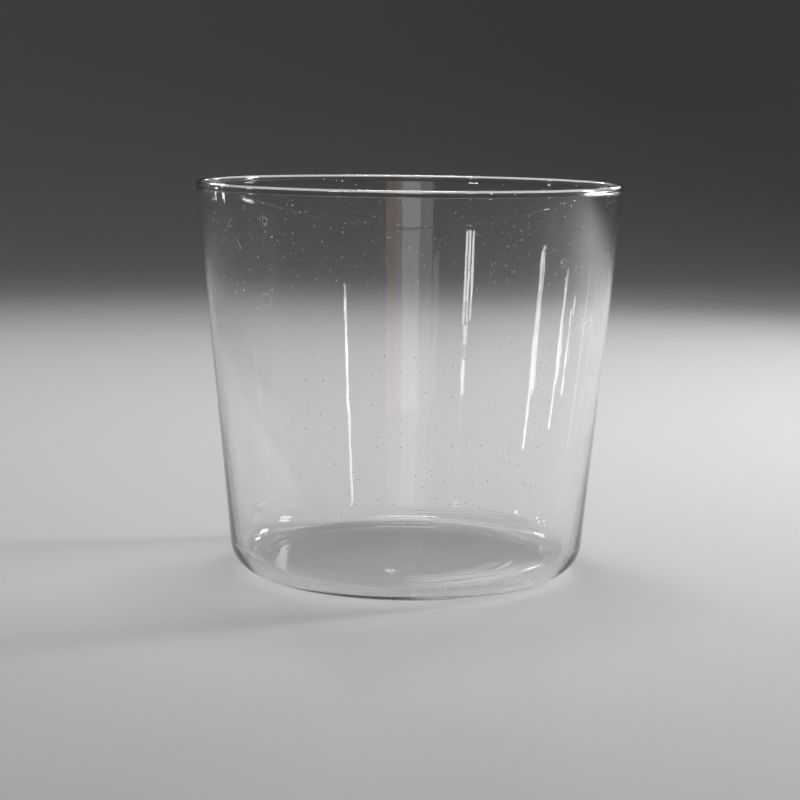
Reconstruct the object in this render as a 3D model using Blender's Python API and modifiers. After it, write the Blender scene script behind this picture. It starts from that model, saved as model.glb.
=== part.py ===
"""Crystallizing dish: a deep, slightly tapered vessel blown from one piece of thin clear glass.

It has a fire-polished rim with no spout, a rounded heel, and a base of even thickness that is
pushed up a little in the middle, so that it stands on a flat ring. The model stands on Z = 0 with
its axis on Z.
"""

import math

import bpy

MM = 0.001

# Outside
HEIGHT = 87.1 * MM
RIM_RADIUS = 47.5 * MM
FOOT_RADIUS = 39.0 * MM  # where the line of the straight wall would meet the table
EASE_HEIGHT = 30.5 * MM  # below this the wall leans out less
EASE_WIDTH = 0.25 * MM  # how far that takes it off the straight line, at the table
HEEL_RADIUS = 7.0 * MM

# Glass
WALL_AT_RIM = 0.85 * MM
WALL_AT_FOOT = 2.4 * MM
RIM_BEAD_RADIUS = 0.58 * MM
RIM_NECK = 2.0 * MM  # the bead has run out into the wall this far below the rim
INNER_HEEL_RADIUS = 5.5 * MM
FLOOR_THICKNESS = 2.1 * MM

# Base
RING_WIDTH = 5.5 * MM
PUSH_UP = 0.5 * MM

# Facets
SEGMENTS = 80
WALL_STEPS = 7
HEEL_STEPS = 6
BEAD_STEPS = 8
FLOOR_STEPS = 4

GLASS_COLOUR = (0.96, 0.95, 0.975, 1.0)
GLASS_ROUGHNESS = 0.02
GLASS_IOR = 1.474


def clear_scene():
    for item in list(bpy.data.objects):
        bpy.data.objects.remove(item, do_unlink=True)


def glass_material():
    material = bpy.data.materials.new("clear_glass")
    material.use_nodes = True
    shader = material.node_tree.nodes["Principled BSDF"]
    shader.inputs["Base Color"].default_value = GLASS_COLOUR
    shader.inputs["Roughness"].default_value = GLASS_ROUGHNESS
    shader.inputs["Metallic"].default_value = 0.0
    shader.inputs["Transmission Weight"].default_value = 1.0
    shader.inputs["IOR"].default_value = GLASS_IOR
    return material


def outer_wall(z):
    """Outside radius of the wall at height z."""
    taper = (RIM_RADIUS - FOOT_RADIUS) / HEIGHT
    low = max(0.0, 1.0 - z / EASE_HEIGHT)
    return FOOT_RADIUS + taper * z + EASE_WIDTH * low**2


def inner_wall(z):
    """Inside radius of the wall at height z: the glass thickens quickly near the heel."""
    thickening = (1.0 - z / HEIGHT) ** 3
    return outer_wall(z) - WALL_AT_RIM - (WALL_AT_FOOT - WALL_AT_RIM) * thickening


def arc(centre, radius, start, end, steps):
    """Points (r, z) along an arc, both ends included, with angles measured from outward."""
    angles = (start + (end - start) * i / steps for i in range(steps + 1))
    return [(centre[0] + radius * math.cos(a), centre[1] + radius * math.sin(a)) for a in angles]


def heel(wall, radius, lowest):
    """The arc that turns a wall into a level floor at height lowest, from the wall down."""
    lean = 0.0
    for _ in range(8):
        top = lowest + radius * (1.0 - math.sin(lean))
        lean = math.atan((wall(top + MM) - wall(top - MM)) / (2.0 * MM))
    centre = (wall(top) - radius * math.cos(lean), lowest + radius)
    return arc(centre, radius, -lean, -math.pi / 2.0, HEEL_STEPS)


def along_wall(wall, low, high):
    """Points (r, z) up a wall, between two heights and without them."""
    heights = (low + (high - low) * i / WALL_STEPS for i in range(1, WALL_STEPS))
    return [(wall(z), z) for z in heights]


def dome(edge, level, rise):
    """Points (r, z) of a shallow dome, from its middle out to the edge, which is left out."""
    shares = (i / FLOOR_STEPS for i in range(FLOOR_STEPS))
    return [(edge * s, level + rise * (1.0 - s * s) ** 2) for s in shares]


def dish_profile():
    """From the middle of the floor, up the inside, over the rim and down the outside."""
    inner_heel = heel(inner_wall, INNER_HEEL_RADIUS, FLOOR_THICKNESS)[::-1]
    outer_heel = heel(outer_wall, HEEL_RADIUS, 0.0)
    neck = HEIGHT - RIM_NECK
    bead_centre = (RIM_RADIUS - RIM_BEAD_RADIUS, HEIGHT - RIM_BEAD_RADIUS)
    bead = arc(bead_centre, RIM_BEAD_RADIUS, math.radians(210), math.radians(-30), BEAD_STEPS)
    ring_outside = outer_heel[-1][0]
    ring_inside = ring_outside - RING_WIDTH
    return [
        *dome(ring_inside, FLOOR_THICKNESS, PUSH_UP),
        (ring_inside, FLOOR_THICKNESS),
        *inner_heel,
        *along_wall(inner_wall, inner_heel[-1][1], neck),
        (inner_wall(neck), neck),
        *bead,
        (outer_wall(neck), neck),
        *along_wall(outer_wall, outer_heel[0][1], neck)[::-1],
        *outer_heel,
        (ring_inside, 0.0),
        *dome(ring_inside, 0.0, PUSH_UP)[::-1],
    ]


def turned(name, profile, collection):
    """A profile of (r, z) points at +X, turned a full circle about Z."""
    points = [(r, 0.0, z) for r, z in profile]
    edges = [(i, i + 1) for i in range(len(points) - 1)]
    mesh = bpy.data.meshes.new(name)
    mesh.from_pydata(points, edges, [])
    piece = bpy.data.objects.new(name, mesh)
    collection.objects.link(piece)
    screw = piece.modifiers.new("turn", "SCREW")
    screw.axis = "Z"
    screw.angle = math.tau
    screw.steps = SEGMENTS
    screw.render_steps = SEGMENTS
    screw.use_smooth_shade = True
    screw.use_merge_vertices = True
    screw.merge_threshold = 0.00001
    return piece


def build():
    clear_scene()
    collection = bpy.data.collections.new("crystallizing_dish")
    bpy.context.scene.collection.children.link(collection)
    dish = turned("glass_dish", dish_profile(), collection)
    dish.data.materials.append(glass_material())


build()
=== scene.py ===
"""The looks of the crystallizing dish: one thin vessel of blown glass in a plain pale studio."""
import math
import bpy
from mathutils import Matrix, Vector, noise


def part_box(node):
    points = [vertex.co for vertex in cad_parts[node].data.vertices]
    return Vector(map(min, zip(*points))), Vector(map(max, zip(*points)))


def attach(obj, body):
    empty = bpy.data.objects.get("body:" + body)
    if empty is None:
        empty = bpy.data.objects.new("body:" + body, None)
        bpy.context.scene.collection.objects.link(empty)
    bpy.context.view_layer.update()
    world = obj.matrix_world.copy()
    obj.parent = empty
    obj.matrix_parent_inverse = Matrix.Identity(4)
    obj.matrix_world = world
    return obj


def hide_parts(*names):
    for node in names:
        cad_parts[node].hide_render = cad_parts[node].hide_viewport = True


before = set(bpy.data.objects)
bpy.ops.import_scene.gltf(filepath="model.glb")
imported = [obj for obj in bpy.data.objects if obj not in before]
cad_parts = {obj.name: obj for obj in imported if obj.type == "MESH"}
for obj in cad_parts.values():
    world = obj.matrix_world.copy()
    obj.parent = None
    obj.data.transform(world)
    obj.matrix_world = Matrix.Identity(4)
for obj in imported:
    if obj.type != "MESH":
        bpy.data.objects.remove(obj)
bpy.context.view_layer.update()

MM = 0.001

# The dish: its size from the frame, and the driving sizes of the CAD profile
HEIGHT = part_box("glass_dish")[1].z
RIM_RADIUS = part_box("glass_dish")[1].x
FOOT_RADIUS = 39.0 * MM
EASE_HEIGHT = 30.5 * MM
EASE_WIDTH = 0.25 * MM
HEEL_RADIUS = 7.0 * MM
WALL_AT_RIM = 0.85 * MM
WALL_AT_FOOT = 2.4 * MM
RIM_BEAD_RADIUS = 0.58 * MM
RIM_NECK = 2.0 * MM
INNER_HEEL_RADIUS = 5.5 * MM
FLOOR_THICKNESS = 2.1 * MM
RING_WIDTH = 5.5 * MM
PUSH_UP = 0.5 * MM

# The fine mesh
SEGMENTS = 512
WALL_STEPS = 30
NECK_STEPS = 6
BEAD_STEPS = 14
INNER_HEEL_STEPS = 16
OUTER_HEEL_STEPS = 20
FLOOR_STEPS = 12

# Waves of the blown wall, each as (size along the wall's girth, along its height, depth)
WAVES = [
    (38.0 * MM, 90.0 * MM, 0.050 * MM),
    (9.0 * MM, 60.0 * MM, 0.010 * MM),
    (3.6 * MM, 35.0 * MM, 0.0022 * MM),
]
WAVES_GROW = 20.0 * MM  # over this height above the heel they come in, so that the base is true

# The marks on the wall. Azimuths are in degrees, 0 on the camera's side and 90 on its right.
# Single fibres and scratches, each as (azimuth and height where it starts, its turn, its rise)
FIBRES = [
    (-45, 79.5 * MM, -1.0, -4.4 * MM),
    (-51, 76.0 * MM, 1.5, -1.8 * MM),
    (-57, 75.5 * MM, 4.5, 4.5 * MM),
    (-28, 54.0 * MM, 2.5, -1.6 * MM),
    (-55, 48.0 * MM, 0.6, -5.5 * MM),
    (64, 66.0 * MM, -2.0, 2.2 * MM),
    (22, 71.0 * MM, 0.8, -1.2 * MM),
]
FIBRE_WIDTH = 0.10 * MM
FIBRE_BEND = 1.6 * MM

# Dried splashes, each as (azimuth, height, half its width, half its height)
SPLASHES = [
    (41, 49.0 * MM, 1.8 * MM, 8.0 * MM),
    (37, 24.5 * MM, 2.2 * MM, 2.4 * MM),
]

# Rings that drops left, each as (azimuth, height, radius)
RINGS = [
    (-40, 80.0 * MM, 1.1 * MM),
    (-41, 63.5 * MM, 1.6 * MM),
    (44, 72.0 * MM, 0.9 * MM),
]

# Sets of short scratches, each as (azimuth, height, half the set's size, spacing, slant)
SCRATCH_SETS = [
    (-51, 17.0 * MM, (5.0 * MM, 5.0 * MM, 3.0 * MM), 0.55 * MM, -0.5),
    (88, 54.0 * MM, (6.0 * MM, 2.5 * MM, 6.0 * MM), 1.25 * MM, 0.1),
]

FINGER_MARK = (57, 58.0 * MM)  # azimuth, height
LINT = (-3.3 * MM, -17.0 * MM)  # x, y on the floor

# The camera
CAMERA_DISTANCE = 454.2 * MM
CAMERA_HEIGHT = 103.6 * MM
CAMERA_LENS = 91.5  # on a sensor 36 wide
CAMERA_DOWN = math.radians(8.205)
CAMERA_LEFT = math.radians(0.212)
CAMERA_ROLL = math.radians(0.688)

# The studio
FLOOR_RADIUS = 2.0
COVE_RADIUS = 1.2
COVE_TOP = 1.7
COVE_STEPS = 24
FLOOR_DROP = 0.05 * MM  # keeps the floor clear of the glass that stands on it
GRID = 36.0  # degrees, the beam of the lamps that only show as streaks in the glass
FLOOR_COLOUR = (0.46, 0.457, 0.452, 1.0)
WORLD_COLOUR = (0.085, 0.085, 0.087, 1.0)
WARM_COLOUR = (1.0, 0.55, 0.42)

# The glass
GLASS_COLOUR = (0.992, 0.990, 0.993, 1.0)
GLASS_IOR = 1.474
TINT_COLOUR = (0.80, 0.68, 0.84, 1.0)
TINT_DENSITY = 20.0  # per metre


# ---------------------------------------------------------------- meshes
def lathe(name, profile, segments, wave=None):
    """A mesh turned about Z from (r, z) points. wave(a, i) is how far point i moves out at angle a.
    A point on the axis becomes one vertex."""
    verts, rows = [], []
    for index, (r, z) in enumerate(profile):
        on_axis = r < 0.001 * MM
        count = 1 if on_axis else segments
        rows.append([len(verts) + i % count for i in range(segments)])
        for i in range(count):
            a = math.tau * i / segments
            out = r if on_axis or wave is None else r + wave(a, index)
            verts.append((out * math.cos(a), out * math.sin(a), z))
    faces = []
    for one, two in zip(rows, rows[1:]):
        for i in range(segments):
            j = (i + 1) % segments
            corners = (one[i], two[i], two[j], one[j])
            faces.append(tuple(dict.fromkeys(corners)))
    mesh = bpy.data.meshes.new(name)
    mesh.from_pydata(verts, [], faces)
    mesh.shade_smooth()
    piece = bpy.data.objects.new(name, mesh)
    bpy.context.scene.collection.objects.link(piece)
    return piece


def outer_wall(z):
    """Outside radius of the wall at height z."""
    taper = (RIM_RADIUS - FOOT_RADIUS) / HEIGHT
    low = max(0.0, 1.0 - z / EASE_HEIGHT)
    return FOOT_RADIUS + taper * z + EASE_WIDTH * low**2


def inner_wall(z):
    """Inside radius of the wall at height z: the glass thickens quickly near the heel."""
    thickening = (1.0 - z / HEIGHT) ** 3
    return outer_wall(z) - WALL_AT_RIM - (WALL_AT_FOOT - WALL_AT_RIM) * thickening


def arc(centre, radius, start, end, steps):
    """Points (r, z) along an arc, both ends included, with angles measured from outward."""
    angles = (start + (end - start) * i / steps for i in range(steps + 1))
    return [(centre[0] + radius * math.cos(a), centre[1] + radius * math.sin(a)) for a in angles]


def heel(wall, radius, lowest, steps):
    """The arc that turns a wall into a level floor at height lowest, from the wall down."""
    lean = 0.0
    for _ in range(8):
        top = lowest + radius * (1.0 - math.sin(lean))
        lean = math.atan((wall(top + MM) - wall(top - MM)) / (2.0 * MM))
    centre = (wall(top) - radius * math.cos(lean), lowest + radius)
    return arc(centre, radius, -lean, -math.pi / 2.0, steps)


def along_wall(wall, low, high):
    """Points (r, z) up a wall from low to just under the start of the rim's neck, high."""
    heights = (low + (high - low) * i / WALL_STEPS for i in range(1, WALL_STEPS))
    return [(wall(z), z) for z in heights]


def neck(wall, low, end):
    """Points (r, z) where a wall swells into the rim bead, from height low up to the point end."""
    swell = end[0] - wall(end[1])
    points = []
    for i in range(NECK_STEPS):
        share = i / NECK_STEPS
        z = low + (end[1] - low) * share
        points.append((wall(z) + swell * share**3, z))
    return points


def dome(edge, level, rise):
    """Points (r, z) of a shallow dome, from its middle out to the edge, which is left out."""
    shares = (i / FLOOR_STEPS for i in range(FLOOR_STEPS))
    return [(edge * s, level + rise * (1.0 - s * s) ** 2) for s in shares]


def dish_profile():
    """From the middle of the floor, up the inside, over the rim and down the outside.
    Returns the points of the inside and those of the outside."""
    inner_heel = heel(inner_wall, INNER_HEEL_RADIUS, FLOOR_THICKNESS, INNER_HEEL_STEPS)[::-1]
    outer_heel = heel(outer_wall, HEEL_RADIUS, 0.0, OUTER_HEEL_STEPS)
    low = HEIGHT - RIM_NECK
    centre = (RIM_RADIUS - RIM_BEAD_RADIUS, HEIGHT - RIM_BEAD_RADIUS)
    bead = arc(centre, RIM_BEAD_RADIUS, math.radians(200), math.radians(-15), BEAD_STEPS)
    ring_inside = outer_heel[-1][0] - RING_WIDTH
    inside = [
        *dome(ring_inside, FLOOR_THICKNESS, PUSH_UP),
        (ring_inside, FLOOR_THICKNESS),
        *inner_heel,
        *along_wall(inner_wall, inner_heel[-1][1], low),
        *neck(inner_wall, low, bead[0]),
        *bead[: BEAD_STEPS // 2],
    ]
    outside = [
        *bead[BEAD_STEPS // 2 :],
        *neck(outer_wall, low, bead[-1])[::-1],
        *along_wall(outer_wall, outer_heel[0][1], low)[::-1],
        *outer_heel,
        (ring_inside, 0.0),
        *dome(ring_inside, 0.0, PUSH_UP)[::-1],
    ]
    return inside, outside


def waviness(a, z, face):
    """How far the blown wall strays from round at angle a and height z. face is 0 on the inside
    of the glass and 1 on the outside, which strays in its own way."""
    stray = 0.0
    for girth, height, depth in WAVES:
        turns = RIM_RADIUS / girth
        place = Vector((math.cos(a) * turns, math.sin(a) * turns, z / height + 7.3 * face))
        stray += depth * noise.noise(place)
    return stray


def make_dish():
    inside, outside = dish_profile()
    profile = inside + outside

    def wave(a, index):
        z = profile[index][1]
        share = min(1.0, max(0.0, (z - HEEL_RADIUS) / WAVES_GROW))
        face = 0 if index < len(inside) else 1
        return waviness(a, z, face) * share

    dish = lathe("glass_dish_fine", profile, SEGMENTS, wave)
    dish.data.materials.append(clear_glass())
    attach(dish, "root")
    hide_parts("glass_dish")


# ---------------------------------------------------------------- materials
def new_material(name):
    material = bpy.data.materials.new(name)
    material.use_nodes = True
    return material, material.node_tree, material.node_tree.nodes["Principled BSDF"]


def add(tree, kind, settings=None, values=None, **sources):
    """A new node. settings are its properties, values its sockets' numbers, by name or index,
    and sources the outputs linked to sockets, by name with _ for a space."""
    made = tree.nodes.new("ShaderNode" + kind)
    for name, value in (settings or {}).items():
        setattr(made, name, value)
    for name, value in (values or {}).items():
        made.inputs[name].default_value = value
    for name, output in sources.items():
        tree.links.new(output, made.inputs[name.replace("_", " ")])
    return made


def math_node(tree, operation, first, second=None, clamp=False):
    made = tree.nodes.new("ShaderNodeMath")
    made.operation = operation
    made.use_clamp = clamp
    for i, value in enumerate((first, second)):
        if isinstance(value, (int, float)):
            made.inputs[i].default_value = value
        elif value is not None:
            tree.links.new(value, made.inputs[i])
    return made.outputs[0]


def ramp(tree, value, low, high, to_low=0.0, to_high=1.0):
    """value from low to high, mapped smoothly to to_low to to_high."""
    made = add(tree, "MapRange", {"interpolation_type": "SMOOTHSTEP"}, {
        "From Min": low, "From Max": high, "To Min": to_low, "To Max": to_high})
    tree.links.new(value, made.inputs["Value"])
    return made.outputs["Result"]


def scaled(tree, place, size):
    """Coordinates in which size is one unit."""
    made = add(tree, "VectorMath", {"operation": "DIVIDE"}, {1: size})
    tree.links.new(place, made.inputs[0])
    return made.outputs[0]


def product(tree, *values):
    total = values[0]
    for value in values[1:]:
        total = math_node(tree, "MULTIPLY", total, value)
    return total


def most(tree, *values):
    """The largest of some masks."""
    total = values[0]
    for value in values[1:]:
        total = math_node(tree, "MAXIMUM", total, value)
    return total


def window(tree, value, low, high, soft):
    """1 where value lies from low to high, falling to 0 over soft on both sides."""
    rise = ramp(tree, value, low - soft, low)
    fall = ramp(tree, value, high, high + soft, 1.0, 0.0)
    return product(tree, rise, fall)


def grain(tree, place, size, detail=2.0, rough=0.5):
    """Noise whose features are about that size."""
    made = add(tree, "TexNoise", None, {"Scale": 1.0, "Detail": detail, "Roughness": rough})
    tree.links.new(scaled(tree, place, size), made.inputs["Vector"])
    return made.outputs["Fac"]


def specks(tree, place, cell, radius, share):
    """Round specks of that radius, in the given share of cells."""
    made = add(tree, "TexVoronoi", {"feature": "F1"}, {"Scale": 1.0})
    tree.links.new(scaled(tree, place, (cell, cell, cell)), made.inputs["Vector"])
    spot = ramp(tree, made.outputs["Distance"], 0.6 * radius / cell, radius / cell, 1.0, 0.0)
    pick = add(tree, "SeparateColor")
    tree.links.new(made.outputs["Color"], pick.inputs[0])
    kept = math_node(tree, "LESS_THAN", pick.outputs[0], share)
    return product(tree, spot, kept)


def reach(tree, place, centre, size):
    """How far a place is from centre, where an ellipsoid of half that size is at 1."""
    offset = add(tree, "VectorMath", {"operation": "SUBTRACT"}, {1: centre})
    tree.links.new(place, offset.inputs[0])
    made = add(tree, "VectorMath", {"operation": "LENGTH"})
    tree.links.new(scaled(tree, offset.outputs[0], size), made.inputs[0])
    return made.outputs["Value"]


def spot_on_wall(azimuth, z):
    """A place on the outside of the wall, by its azimuth in degrees and its height."""
    a = math.radians(azimuth)
    return (outer_wall(z) * math.sin(a), -outer_wall(z) * math.cos(a), z)


def round_the_dish(tree, place):
    """Coordinates that follow a cloth round the dish (along its section, round it, 0), and the
    section, azimuth, radius and height on their own."""
    parts = add(tree, "SeparateXYZ")
    tree.links.new(place, parts.inputs[0])
    x, y, z = parts.outputs
    azimuth = math_node(tree, "ARCTAN2", x, math_node(tree, "MULTIPLY", y, -1.0))
    squares = math_node(tree, "ADD", product(tree, x, x), product(tree, y, y))
    radius = math_node(tree, "SQRT", squares)
    section = math_node(tree, "ADD", radius, z)
    both = add(tree, "CombineXYZ")
    tree.links.new(section, both.inputs[0])
    tree.links.new(azimuth, both.inputs[1])
    return both.outputs[0], section, azimuth, radius, z


def wiped_film(tree, turned, section, azimuth, z):
    """Smears that a cloth left round the base, in fine curved strokes, as a share from 0 to 1."""
    broad = ramp(tree, grain(tree, turned, (1.3 * MM, 1.1, 1.0), 1.0, 0.5), 0.35, 0.60, 0.25, 1.0)
    strokes = ramp(tree, grain(tree, turned, (0.34 * MM, 0.80, 1.0), 2.0, 0.6), 0.38, 0.60, 0.12, 1.0)
    ragged = math_node(tree, "SUBTRACT", grain(tree, turned, (1.8 * MM, 0.9, 1.0), 2.0), 0.5)
    ragged_section = math_node(tree, "ADD", section, product(tree, ragged, 5.0 * MM))
    ragged_azimuth = math_node(tree, "ADD", azimuth, product(tree, ragged, 0.9))
    back = product(tree, window(tree, ragged_azimuth, 2.20, 2.93, 0.12),
                   window(tree, ragged_section, 35.5 * MM, 42.0 * MM, 1.5 * MM))
    front = product(tree, window(tree, ragged_azimuth, 0.25, 1.15, 0.30),
                    window(tree, ragged_section, 24.0 * MM, 33.5 * MM, 2.0 * MM))
    low = ramp(tree, z, 8.0 * MM, 11.0 * MM, 1.0, 0.0)
    smears = most(tree, product(tree, back, 0.60), product(tree, front, 0.48))
    return product(tree, smears, broad, strokes, low)


def finger_mark(tree, place):
    """A smudge with the fine ridges of a finger tip, high on the right of the wall."""
    away = reach(tree, place, spot_on_wall(*FINGER_MARK), (4.5 * MM, 5.5 * MM, 4.5 * MM))
    near = ramp(tree, away, 0.3, 1.0, 1.0, 0.0)
    ridges = add(tree, "TexWave", {"wave_type": "RINGS", "rings_direction": "SPHERICAL"},
                 {"Scale": 1.0, "Distortion": 2.5, "Detail": 1.0})
    tree.links.new(scaled(tree, place, (3.2 * MM, 3.2 * MM, 3.2 * MM)), ridges.inputs["Vector"])
    blotch = ramp(tree, grain(tree, place, (2.4 * MM, 2.4 * MM, 2.4 * MM), 3.0), 0.35, 0.65, 0.3, 1.0)
    return product(tree, near, blotch, ramp(tree, ridges.outputs["Fac"], 0.2, 0.8, 0.35, 1.0), 0.30)


def dried_drops(tree, place):
    """The outlines of dried splashes, and rings that drops left."""
    wavy = grain(tree, place, (2.2 * MM, 2.2 * MM, 3.0 * MM), 3.0, 0.55)
    outline = window(tree, wavy, 0.497, 0.512, 0.010)
    flakes = []
    for azimuth, z, wide, tall in SPLASHES:
        near = reach(tree, place, spot_on_wall(azimuth, z), (wide, wide, tall))
        flakes.append(product(tree, outline, ramp(tree, near, 0.7, 1.0, 1.0, 0.0)))
    rings = []
    for azimuth, z, size in RINGS:
        near = reach(tree, place, spot_on_wall(azimuth, z), (size, size, size))
        rings.append(product(tree, window(tree, near, 0.94, 1.0, 0.06), 0.5))
    return product(tree, most(tree, *flakes, *rings), 0.7)


def hair(tree, place, start, end, width):
    """A fine line from start to end."""
    along = end - start
    offset = add(tree, "VectorMath", {"operation": "SUBTRACT"}, {1: start})
    tree.links.new(place, offset.inputs[0])
    share = add(tree, "VectorMath", {"operation": "DOT_PRODUCT"}, {1: along / along.length_squared})
    tree.links.new(offset.outputs[0], share.inputs[0])
    nearest = add(tree, "VectorMath", {"operation": "SCALE"}, {0: along})
    kept = math_node(tree, "ADD", share.outputs["Value"], 0.0, clamp=True)
    tree.links.new(kept, nearest.inputs["Scale"])
    gap = add(tree, "VectorMath", {"operation": "DISTANCE"})
    tree.links.new(offset.outputs[0], gap.inputs[0])
    tree.links.new(nearest.outputs[0], gap.inputs[1])
    return ramp(tree, gap.outputs["Value"], 0.5 * width, width, 1.0, 0.0)


def lint_and_scratches(tree, place):
    """Single short fibres and hairline scratches on the wall, a little bent."""
    bend = add(tree, "TexNoise", None, {"Scale": 1.0, "Detail": 1.0})
    tree.links.new(scaled(tree, place, (3 * MM, 3 * MM, 3 * MM)), bend.inputs["Vector"])
    shift = add(tree, "VectorMath", {"operation": "SCALE"}, {"Scale": FIBRE_BEND})
    tree.links.new(bend.outputs["Color"], shift.inputs[0])
    bent = add(tree, "VectorMath", {"operation": "ADD"})
    tree.links.new(place, bent.inputs[0])
    tree.links.new(shift.outputs[0], bent.inputs[1])
    middle = Vector((0.5, 0.5, 0.5)) * FIBRE_BEND  # the bend's average, which moves every line
    lines = []
    for azimuth, z, turn, rise in FIBRES:
        start = Vector(spot_on_wall(azimuth, z)) + middle
        end = Vector(spot_on_wall(azimuth + turn, z + rise)) + middle
        lines.append(hair(tree, bent.outputs[0], start, end, FIBRE_WIDTH))
    return product(tree, most(tree, *lines), 0.8)


def scratches(tree, place, turned, section):
    """Fine scratches round the floor, and sets of short, roughly parallel ones on the wall."""
    arcs = ramp(tree, grain(tree, turned, (0.16 * MM, 0.35, 1.0), 2.0, 0.6), 0.66, 0.74)
    broken = ramp(tree, grain(tree, place, (9 * MM, 9 * MM, 9 * MM), 2.0), 0.45, 0.60)
    sets = [product(tree, arcs, broken, window(tree, section, 16 * MM, 34 * MM, 3 * MM), 0.6)]
    uneven = grain(tree, place, (2.6 * MM, 2.6 * MM, 0.9 * MM), 2.0)
    kept = ramp(tree, uneven, 0.46, 0.56)
    for azimuth, z, size, spacing, slant in SCRATCH_SETS:
        near = ramp(tree, reach(tree, place, spot_on_wall(azimuth, z), size), 0.3, 1.0, 1.0, 0.0)
        tilted = add(tree, "VectorMath", {"operation": "DOT_PRODUCT"}, {1: (slant, 0.0, 1.0)})
        tree.links.new(place, tilted.inputs[0])
        rows = product(tree, tilted.outputs["Value"], math.tau / spacing)
        shifted = math_node(tree, "ADD", rows, product(tree, uneven, 9.0))
        lines = ramp(tree, math_node(tree, "SINE", shifted), 0.84, 0.98)
        sets.append(product(tree, near, lines, kept, 0.7))
    return most(tree, *sets)


def dust(tree, place):
    """Fine dust all over, and one bit of lint on the floor."""
    away = reach(tree, place, (*LINT, FLOOR_THICKNESS + 0.4 * MM), (2.2 * MM, 2.8 * MM, 1.6 * MM))
    tufts = ramp(tree, grain(tree, place, (0.6 * MM, 1.0 * MM, 0.6 * MM), 3.0), 0.40, 0.52)
    lint = product(tree, ramp(tree, away, 0.2, 1.0, 1.0, 0.0), tufts)
    coarse = specks(tree, place, 1.5 * MM, 0.19 * MM, 0.20)
    fine = specks(tree, place, 0.6 * MM, 0.08 * MM, 0.14)
    return product(tree, most(tree, coarse, fine, lint), 0.85)


def clear_glass():
    material, tree, shader = new_material("clear_glass")
    place = add(tree, "TexCoord").outputs["Object"]
    turned, section, azimuth, radius, z = round_the_dish(tree, place)

    film = most(tree, wiped_film(tree, turned, section, azimuth, z), finger_mark(tree, place))
    haze = ramp(tree, grain(tree, place, (16 * MM, 16 * MM, 22 * MM), 4.0, 0.6), 0.45, 0.80)
    worn = product(tree, ramp(tree, z, 0.05 * MM, 0.25 * MM, 1.0, 0.0),  # the ring it stands on
                   ramp(tree, grain(tree, turned, (0.5 * MM, 0.2, 1.0), 4.0, 0.7), 0.35, 0.65),
                   ramp(tree, radius, 27.0 * MM, 28.5 * MM))
    marks = most(tree, film, dried_drops(tree, place), lint_and_scratches(tree, place),
                 scratches(tree, place, turned, section), dust(tree, place),
                 product(tree, haze, 0.006), product(tree, worn, 0.02))
    clear = math_node(tree, "SUBTRACT", 1.0, marks, clamp=True)
    tree.links.new(clear, shader.inputs["Transmission Weight"])
    rough = most(tree, product(tree, haze, 0.01), product(tree, film, 0.35), product(tree, worn, 0.04))
    tree.links.new(rough, shader.inputs["Roughness"])

    cords = product(tree, grain(tree, place, (1.4 * MM, 1.4 * MM, 26 * MM), 2.0, 0.45),
                    ramp(tree, z, HEEL_RADIUS, HEEL_RADIUS + WAVES_GROW))
    bump = add(tree, "Bump", None, {"Strength": 1.0, "Distance": 0.004 * MM}, Height=cords)
    tree.links.new(bump.outputs["Normal"], shader.inputs["Normal"])

    shader.inputs["Base Color"].default_value = GLASS_COLOUR
    shader.inputs["IOR"].default_value = GLASS_IOR

    # Rays of light and of the floor's own shading pass straight through, a little dimmed
    facing = add(tree, "LayerWeight", None, {"Blend": 0.25}).outputs["Facing"]
    dimming = ramp(tree, facing, 0.0, 1.0, 0.97, 0.55)
    shade = add(tree, "BsdfTransparent")
    tree.links.new(dimming, shade.inputs["Color"])
    path = add(tree, "LightPath")
    lit = add(tree, "MixShader")
    seen = add(tree, "MixShader")
    for mixer, share, first in ((lit, "Is Shadow Ray", shader), (seen, "Is Diffuse Ray", lit)):
        tree.links.new(path.outputs[share], mixer.inputs[0])
        tree.links.new(first.outputs[0], mixer.inputs[1])
        tree.links.new(shade.outputs[0], mixer.inputs[2])
    output = tree.nodes["Material Output"]
    tree.links.new(seen.outputs[0], output.inputs["Surface"])

    tint = add(tree, "VolumeAbsorption", None, {"Color": TINT_COLOUR, "Density": TINT_DENSITY})
    tree.links.new(tint.outputs[0], output.inputs["Volume"])
    return material


def pale_paper():
    material, _, shader = new_material("pale_paper")
    shader.inputs["Base Color"].default_value = FLOOR_COLOUR
    shader.inputs["Roughness"].default_value = 0.8
    return material


# ---------------------------------------------------------------- studio
def make_camera():
    camera = bpy.data.objects.new("camera", bpy.data.cameras.new("camera"))
    camera.data.sensor_width = 36.0
    camera.data.lens = CAMERA_LENS
    camera.data.clip_start = 0.01
    camera.data.clip_end = 20.0
    camera.matrix_world = (
        Matrix.Translation((0.0, -CAMERA_DISTANCE, CAMERA_HEIGHT))
        @ Matrix.Rotation(CAMERA_LEFT, 4, "Z")
        @ Matrix.Rotation(math.pi / 2.0 - CAMERA_DOWN, 4, "X")
        @ Matrix.Rotation(CAMERA_ROLL, 4, "Z")
    )
    bpy.context.scene.collection.objects.link(camera)
    bpy.context.scene.camera = camera


def make_floor():
    """A round floor that curves up into a low wall all round."""
    bend = FLOOR_RADIUS - COVE_RADIUS
    curve = arc((bend, COVE_RADIUS), COVE_RADIUS, -math.pi / 2.0, 0.0, COVE_STEPS)
    floor = lathe("studio_floor", [(0.0, 0.0), (bend / 2.0, 0.0), *curve, (FLOOR_RADIUS, COVE_TOP)], 128)
    floor.location.z = -FLOOR_DROP
    floor.data.materials.append(pale_paper())


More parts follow.
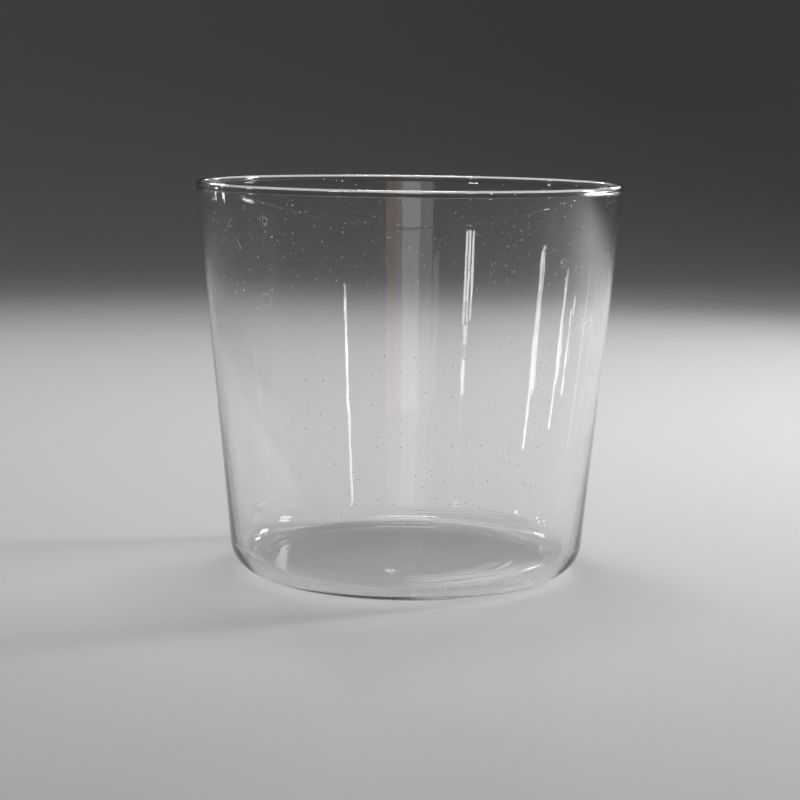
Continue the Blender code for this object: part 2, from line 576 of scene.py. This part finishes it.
def softbox(name, azimuth, distance, low, high, width, radiance, colour=(1.0, 1.0, 1.0), tilt=0.0,
            spread=180.0):
    """A rectangular lamp that stands at a distance from the axis of the dish and reaches from
    height low to height high. It faces the axis, tilted down by tilt degrees, and a grid on it
    can narrow its beam to spread degrees. Azimuth 0 is the camera's side and 90 is the camera's
    right, in degrees."""
    a = math.radians(azimuth)
    beam = math.radians(spread / 2.0)
    tall = (high - low) / math.cos(math.radians(tilt))
    lamp = bpy.data.objects.new(name, bpy.data.lights.new(name, "AREA"))
    lamp.data.shape = "RECTANGLE"
    lamp.data.size = width
    lamp.data.size_y = tall
    lamp.data.spread = 2.0 * beam
    lamp.data.energy = radiance * math.pi * width * tall * (1.0 - beam / math.tan(beam))
    lamp.data.color = colour
    lamp.location = (math.sin(a) * distance, -math.cos(a) * distance, (low + high) / 2.0)
    lamp.rotation_euler = (math.pi / 2.0 - math.radians(tilt), 0.0, a)
    lamp.visible_camera = False
    bpy.context.scene.collection.objects.link(lamp)


def high_lamp(name, azimuth, elevation, distance, width, tall, radiance):
    """A lamp up on a boom, elevation degrees above the middle of the dish and turned to it."""
    e = math.radians(elevation)
    middle = HEIGHT / 2.0 + distance * math.sin(e)
    half = tall / 2.0 * math.cos(e)
    low, high = middle - half, middle + half
    softbox(name, azimuth, distance * math.cos(e), low, high, width, radiance, tilt=elevation)


def make_lights():
    world = bpy.data.worlds.new("studio")
    world.use_nodes = True
    world.node_tree.nodes["Background"].inputs["Color"].default_value = WORLD_COLOUR
    bpy.context.scene.world = world
    high_lamp("top", 180, 72, 0.52, 0.17, 0.17, 20.0)
    high_lamp("high_right", 109, 21, 0.60, 0.08, 0.14, 84.0)
    high_lamp("high_back_right", 148, 19, 0.60, 0.08, 0.08, 24.0)
    high_lamp("low_back_right", 166, 15, 0.60, 0.040, 0.050, 24.0)
    high_lamp("high_back_left", -155, 27, 0.60, 0.08, 0.07, 26.0)
    high_lamp("high_back", 180, 35, 0.60, 0.50, 0.06, 1.7)
    for i in (-1, 0, 1):
        softbox(f"front_left_{i + 2}", -38 + 2.2 * i, 0.70, 0.120, 0.170, 0.015, 60.0, spread=GRID)
    softbox("front_left_low", -37, 0.70, 0.086, 0.102, 0.024, 40.0, spread=GRID)
    softbox("left", -90, 0.60, 0.015, 0.120, 0.024, 35.0, spread=GRID)
    softbox("back_left", -114, 0.60, 0.004, 0.088, 0.014, 30.0, spread=GRID)
    softbox("back_left_low", -123, 0.60, 0.014, 0.062, 0.010, 14.0, spread=GRID)
    softbox("front_right", 41, 0.60, 0.025, 0.121, 0.018, 30.0, spread=GRID)
    softbox("front_wide", -3, 1.10, 0.001, 0.50, 0.42, 0.8)
    softbox("front_narrow", -1, 1.08, 0.001, 0.40, 0.20, 1.0)
    softbox("front_warm", 11, 1.06, 0.001, 0.40, 0.12, 0.8, WARM_COLOUR)


make_camera()
make_floor()
make_lights()
make_dish()

bpy.context.scene.view_settings.view_transform = "Standard"
